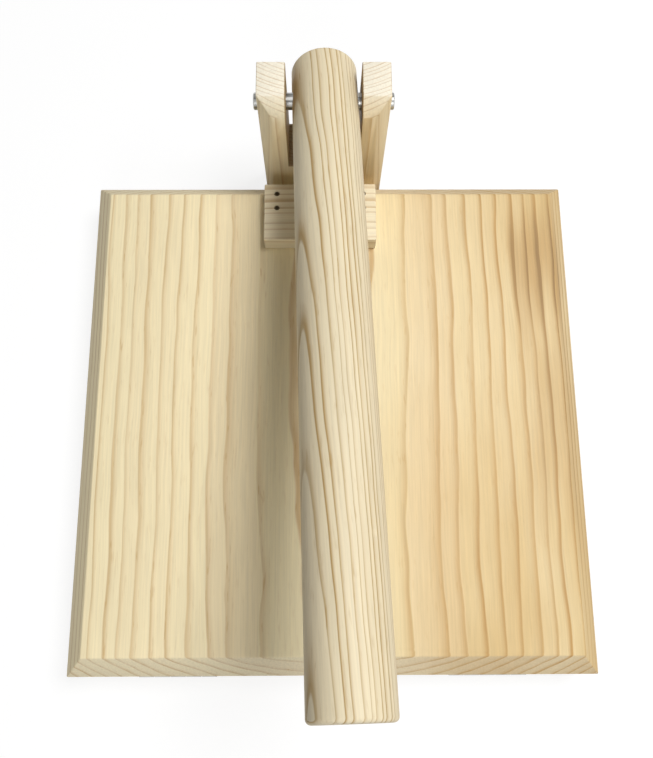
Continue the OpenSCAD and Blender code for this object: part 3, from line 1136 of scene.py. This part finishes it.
class PRESS_OT_set_stage(bpy.types.Operator):
    """Set up the pale floor, the soft lamps and the camera"""

    bl_idname = "press.set_stage"
    bl_label = "Set Stage"

    def execute(self, context):
        scene = context.scene
        looks = scene.press_stage
        low, high = CAD_BOX
        target = (Vector(low) + Vector(high)) / 2
        lay_floor(scene, looks)
        hang_lamp(scene, "key_lamp", KEY_PLACE, target, KEY_SIZE, looks.key)
        hang_lamp(scene, "fill_lamp", FILL_PLACE, target, FILL_SIZE, looks.fill)
        light_sky(scene, looks)
        aim_camera(scene, looks)
        scene.view_settings.view_transform = "Standard"
        return {"FINISHED"}


# Wooden pieces

# Where the hearts of the logs run. The base board's is a point of the frame, the lever's a point in
# its own axes, and the others are measured from their pieces
TOP_HEART_X = 1 * MM
TOP_HEART_ABOVE = 105 * MM
BASE_HEART = (-30 * MM, 0.0, -110 * MM)
BRACKET_HEART_BEHIND = 55 * MM
BLOCK_HEART_OFF = Vector((0.0, 120 * MM, -50 * MM))
LEVER_HEART = Vector((50 * MM, -30 * MM, 100 * MM))
LEVER_GRAIN_TURN = math.radians(2.4)

# Darker places near the top board's right edge and its rear
BOARD_CLOUDS = (
    (106 * MM, 80 * MM, 27 * MM, 48 * MM, 0.72),
    (116 * MM, 0.0, 22 * MM, 95 * MM, 0.42),
    (60 * MM, 120 * MM, 80 * MM, 60 * MM, 0.07),
)

# The bracket's slot, whose walls and floor get painted shade: its two sides in X and its floor
SLOT = (-21.67 * MM, 14.28 * MM, 51.5 * MM)


def along(x=0.0, y=0.0, z=0.0):
    """The turn that lays a log's length along the grain, in degrees about X, then Y, then Z."""
    return Euler([math.radians(angle) for angle in (x, y, z)])


class PRESS_OT_make_boards(bpy.types.Operator):
    """Make the base board and the bevelled top board from flat-sawn pine"""

    bl_idname = "press.make_boards"
    bl_label = "Make Boards"

    def execute(self, context):
        scene = context.scene
        top = pine(
            "top_board_pine",
            scene.press_pine,
            (TOP_HEART_X, 0.0, upper("top_board").z + TOP_HEART_ABOVE),
            along(x=-90.2, z=0.3),
            seed=4.0,
            ring=5.0 * MM,
            ripple=0.4,
            uneven=0.3,
            phase=0.3,
            warmth=(-30 * MM, 95 * MM),
            deeper=0.55,
            line=1.5,
            crisp=0.6,
            fleck=0.55,
            dull=(0.225, 0.3),
            clouds=BOARD_CLOUDS,
        )
        base = pine(
            "base_board_pine",
            scene.press_pine,
            BASE_HEART,
            along(x=-89.6, z=-0.5),
            seed=9.0,
            ring=4.6 * MM,
            warmth=(-200 * MM, 250 * MM),
        )
        eased_stock("top_board", top, scene.press_wood, seed=1)
        eased_stock("base_board", base, scene.press_wood, seed=2)
        return {"FINISHED"}


class PRESS_OT_make_bracket(bpy.types.Operator):
    """Make the slotted bracket from upright pine"""

    bl_idname = "press.make_bracket"
    bl_label = "Make Bracket"

    def execute(self, context):
        scene = context.scene
        heart_y = upper("lever_bracket").y + BRACKET_HEART_BEHIND
        wood = pine(
            "bracket_pine",
            scene.press_pine,
            (middle("lever_bracket").x, heart_y, 0.0),
            along(y=0.1),
            seed=2.0,
            ring=2.1 * MM,
            wave=0.6 * MM,
            warmth=(-60 * MM, 90 * MM),
            line=1.3,
            crisp=0.8,
            pale=0.3,
            band=0.15,
            cut=scene.press_pine.pale,
            dull=(0.6, 0.95),
            # The slot's walls and floor get painted shade
            shaded_slot=SLOT,
        )
        eased_stock("lever_bracket", wood, scene.press_wood, seed=3)
        return {"FINISHED"}


class PRESS_OT_make_block(bpy.types.Operator):
    """Make the small block that the lever strikes"""

    bl_idname = "press.make_block"
    bl_label = "Make Strike Block"

    def execute(self, context):
        scene = context.scene
        wood = pine(
            "block_pine",
            scene.press_pine,
            middle("strike_block") + BLOCK_HEART_OFF,
            along(y=90.0, z=0.8),
            seed=6.0,
            ring=3.5 * MM,
            wave=0.6 * MM,
            uneven=0.6,
            warmth=(-300 * MM, 900 * MM),
            line=1.2,
            crisp=0.4,
            pale=0.35,
            age=0.15,
            band=0.1,
        )
        eased_stock("strike_block", wood, scene.press_wood, seed=4)
        return {"FINISHED"}


def lever_stance(sizes):
    """Where the lever lies at rest: its own +Z runs from the rear end to the grip."""
    return (
        Matrix.Translation(PIVOT)
        @ Matrix.Rotation(-sizes.rise, 4, "X")
        @ Matrix.Translation((sizes.shift, 0, 0))
        @ Matrix.Rotation(sizes.skew, 4, "Z")
        @ Matrix.Rotation(QUARTER_TURN, 4, "X")
        @ Matrix.Translation((0, 0, -sizes.tail))
    )


class PRESS_OT_make_lever(bpy.types.Operator):
    """Turn the round lever and drill it for its pin"""

    bl_idname = "press.make_lever"
    bl_label = "Make Lever"

    def execute(self, context):
        scene = context.scene
        sizes = scene.press_lever
        stance = lever_stance(sizes)
        wood = pine(
            "lever_pine",
            scene.press_pine,
            stance @ LEVER_HEART,
            (stance.to_3x3() @ Matrix.Rotation(LEVER_GRAIN_TURN, 3, "Y")).to_euler(),
            seed=3.0,
            ring=2.2 * MM,
            wave=1.5 * MM,
            ripple=0.45,
            uneven=0.5,
            warmth=(-300 * MM, 500 * MM),
            line=2.0,
            crisp=0.45,
            fleck=0.9,
            age=0.36,
            band=0.12,
        )
        back = stance.inverted()
        pin_way = back.to_3x3() @ Vector((1, 0, 0))
        out = sizes.diameter / 2 + sizes.nick_radius - sizes.nick_depth
        nick_x = out * math.sin(sizes.nick_turn)
        nick_y = out * math.cos(sizes.nick_turn)
        drilled = {
            "Length": sizes.length,
            "Radius": sizes.diameter / 2,
            "Rounding": sizes.rounding,
            "Pin Place": back @ PIVOT,
            "Pin Turn": Vector(Vector((0, 0, 1)).rotation_difference(pin_way).to_euler()),
            "Hole Radius": span("pivot_pin").y / 2 + sizes.pin_play,
            "Nick Place": Vector((nick_x, nick_y, sizes.tail + sizes.nick_from_pivot)),
            "Nick Radius": sizes.nick_radius,
        }
        round_lever().make("lever", stance, wood, drilled)
        return {"FINISHED"}


# Metal pieces

# The size of a scratch along X, Y and Z
# On the pin these streaks are also painted dark reflections, dark bands along it
DRAWN_STREAK_AND_REFLECTION = (40 * MM, 2.4 * MM, 2.4 * MM)
NAIL_SPECK = (0.3 * MM, 0.3 * MM, 0.3 * MM)
ZINC_SCRATCH = (0.22 * MM, 1.4 * MM, 0.3 * MM)

# A hinge rod's end rounding in its thickness
ROD_ROUNDING = 1 / 6


def zinc_plate(name, looks, seed):
    """Bright zinc plate with a faint cloudiness and fine handling scratches."""
    return metal(
        name,
        looks.zinc,
        seed=seed,
        roughness=0.36,
        streak=ZINC_SCRATCH,
        mottle=2.6 * MM,
        depth=0.012 * MM,
    )


def fit_pin(former, node, material, rounding):
    """A round pin across the press, in the place of a CAD pin."""
    length, thickness, _ = span(node)
    place = Matrix.Translation(middle(node)) @ Matrix.Rotation(QUARTER_TURN, 4, "Y")
    place = place @ Matrix.Translation((0, 0, -length / 2))
    sizes = {"Length": length, "Radius": thickness / 2, "Rounding": rounding}
    former.make(node, place, material, sizes)


def screw_pitch(node, thickness):
    """How far apart two screws stand, measured between their middles."""
    return span(node).x - HEAD_WIDTH * thickness


def drive_screws(former, node, place, material, thickness, length, thread_depth):
    """Two countersunk screws in the place of a CAD pair."""
    sizes = {
        "Count": 2,
        "Pitch": screw_pitch(node, thickness),
        "Radius": thickness / 2,
        "Length": length,
        "Thread Depth": thread_depth,
    }
    former.make(node, place, material, sizes)


class PRESS_OT_make_pin(bpy.types.Operator):
    """Cut the drawn steel pin that the lever turns on"""

    bl_idname = "press.make_pin"
    bl_label = "Make Pivot Pin"

    def execute(self, context):
        scene = context.scene
        steel = metal(
            "drawn_steel",
            scene.press_metal.steel,
            seed=1.0,
            roughness=0.3,
            streak=DRAWN_STREAK_AND_REFLECTION,
            mottle=14 * MM,
            depth=0.01 * MM,
            # Streaks this dark are painted dark reflections as well as drawn streaks
            dim=0.2,
        )
        fit_pin(turned_rod(), "pivot_pin", steel, scene.press_lever.pin_rounding)
        return {"FINISHED"}


class PRESS_OT_make_nails(bpy.types.Operator):
    """Drive the four nails that hold the strike block"""

    bl_idname = "press.make_nails"
    bl_label = "Make Block Nails"

    def execute(self, context):
        scene = context.scene
        sizes = scene.press_fasteners
        dark = metal(
            "dark_nail",
            scene.press_metal.nail,
            seed=2.0,
            roughness=0.6,
            streak=NAIL_SPECK,
            mottle=1.1 * MM,
            depth=0.03 * MM,
            shine=0.6,
        )
        node = "block_nails"
        reach = span(node)
        place = middle(node)
        place.z = upper(node).z
        driven = {
            "Across": reach.x - sizes.nail_head,
            "Along": reach.y - sizes.nail_head,
            "Shank Radius": sizes.nail_shank / 2,
            "Head Radius": sizes.nail_head / 2,
            "Length": reach.z,
        }
        nail_pairs().make(node, Matrix.Translation(place), dark, driven)
        return {"FINISHED"}


class PRESS_OT_make_bracket_screws(bpy.types.Operator):
    """Drive the two long screws that hold the bracket"""

    bl_idname = "press.make_bracket_screws"
    bl_label = "Make Bracket Screws"

    def execute(self, context):
        scene = context.scene
        sizes = scene.press_fasteners
        node = "bracket_screws"
        zinc = zinc_plate("screw_zinc", scene.press_metal, seed=3.0)
        place = middle(node)
        place.y = upper(node).y
        stand = Matrix.Translation(place) @ Matrix.Rotation(-QUARTER_TURN, 4, "X")
        length = span(node).y
        drive_screws(screw_row(), node, stand, zinc, sizes.bracket_screw, length, sizes.thread_depth)
        return {"FINISHED"}


class PRESS_OT_make_hinges(bpy.types.Operator):
    """Roll the leaves of the two butt hinges and fit their pins and screws"""

    bl_idname = "press.make_hinges"
    bl_label = "Make Hinges"

    def execute(self, context):
        scene = context.scene
        self.hinge = scene.press_hinges
        self.fasteners = scene.press_fasteners
        self.plate = zinc_plate("hinge_zinc", scene.press_metal, seed=5.0)
        self.screw_plate = zinc_plate("leaf_screw_zinc", scene.press_metal, seed=7.0)
        self.leaf = rolled_leaf()
        self.screws = screw_row()
        rod = turned_rod()
        for side in ("left", "right"):
            pin = f"{side}_hinge_pin"
            fit_pin(rod, pin, self.plate, span(pin).y * ROD_ROUNDING)
            self.fit_leaf(side, "lower", 0)
            self.fit_leaf(side, "upper", 1)
        return {"FINISHED"}

    def fit_leaf(self, side, level, first):
        """One leaf with its screws. first is the knuckle that it starts with: 0 below and 1 above.

        The upper leaf is the lower one turned over.
        """
        pin = f"{side}_hinge_pin"
        pivot = middle(pin)
        low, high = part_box(f"{side}_hinge_lower_leaf")
        over = Matrix.Rotation(first * math.pi, 4, "Y")
        node = f"{side}_hinge_{level}_screws"
        screws_low, screws_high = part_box(node)
        stand = middle(node)
        stand.z = screws_low.z if first else screws_high.z
        thickness = self.fasteners.leaf_screw
        sizes = {
            "Length": span(pin).x,
            "Reach": high.y - pivot.y,
            "Thickness": self.hinge.leaf,
            "Knuckle Radius": pivot.y - low.y,
            "Knuckles": self.hinge.knuckles,
            "First": first,
            "Gap": self.hinge.gap,
            "Room": self.hinge.room,
            "Roll": self.hinge.roll,
            "Screw Pitch": screw_pitch(node, thickness),
            "Screw Reach": stand.y - pivot.y,
            "Screw Radius": thickness / 2,
        }
        leaf_place = Matrix.Translation(pivot) @ over
        self.leaf.make(f"{side}_hinge_{level}_leaf", leaf_place, self.plate, sizes)
        place = Matrix.Translation(stand) @ over
        thread_depth = self.fasteners.thread_depth
        drive_screws(
            self.screws, node, place, self.screw_plate, thickness, span(node).z, thread_depth
        )


class PRESS_PT_build(bpy.types.Panel):
    """Lists the steps that build the press"""

    bl_idname = "PRESS_PT_build"
    bl_label = "Tortilla Press"
    bl_space_type = "VIEW_3D"
    bl_region_type = "UI"
    bl_category = "Press"

    def draw(self, context):
        for step in STEPS:
            self.layout.operator(step.bl_idname)
        for group in GROUPS:
            box = self.layout.box()
            sizes = getattr(context.scene, group)
            for size in sizes.bl_rna.properties:
                if not size.is_readonly and size.identifier != "name":
                    box.prop(sizes, size.identifier)


STEPS = (
    PRESS_OT_set_stage,
    PRESS_OT_make_boards,
    PRESS_OT_make_bracket,
    PRESS_OT_make_block,
    PRESS_OT_make_lever,
    PRESS_OT_make_pin,
    PRESS_OT_make_nails,
    PRESS_OT_make_bracket_screws,
    PRESS_OT_make_hinges,
)
CLASSES = (*GROUPS.values(), *STEPS, PRESS_PT_build)


def register():
    """Registers the groups, the operators and the panel."""
    for item in CLASSES:
        bpy.utils.register_class(item)
    for name, group in GROUPS.items():
        setattr(bpy.types.Scene, name, PointerProperty(type=group))


def unregister():
    """Takes them all away again."""
    for name in GROUPS:
        delattr(bpy.types.Scene, name)
    for item in reversed(CLASSES):
        bpy.utils.unregister_class(item)


def main():
    """Builds the press and its stage."""
    register()
    bpy.ops.press.set_stage()
    bpy.ops.press.make_boards()
    bpy.ops.press.make_bracket()
    bpy.ops.press.make_block()
    bpy.ops.press.make_lever()
    bpy.ops.press.make_pin()
    bpy.ops.press.make_nails()
    bpy.ops.press.make_bracket_screws()
    bpy.ops.press.make_hinges()


if __name__ == "__main__":
    main()
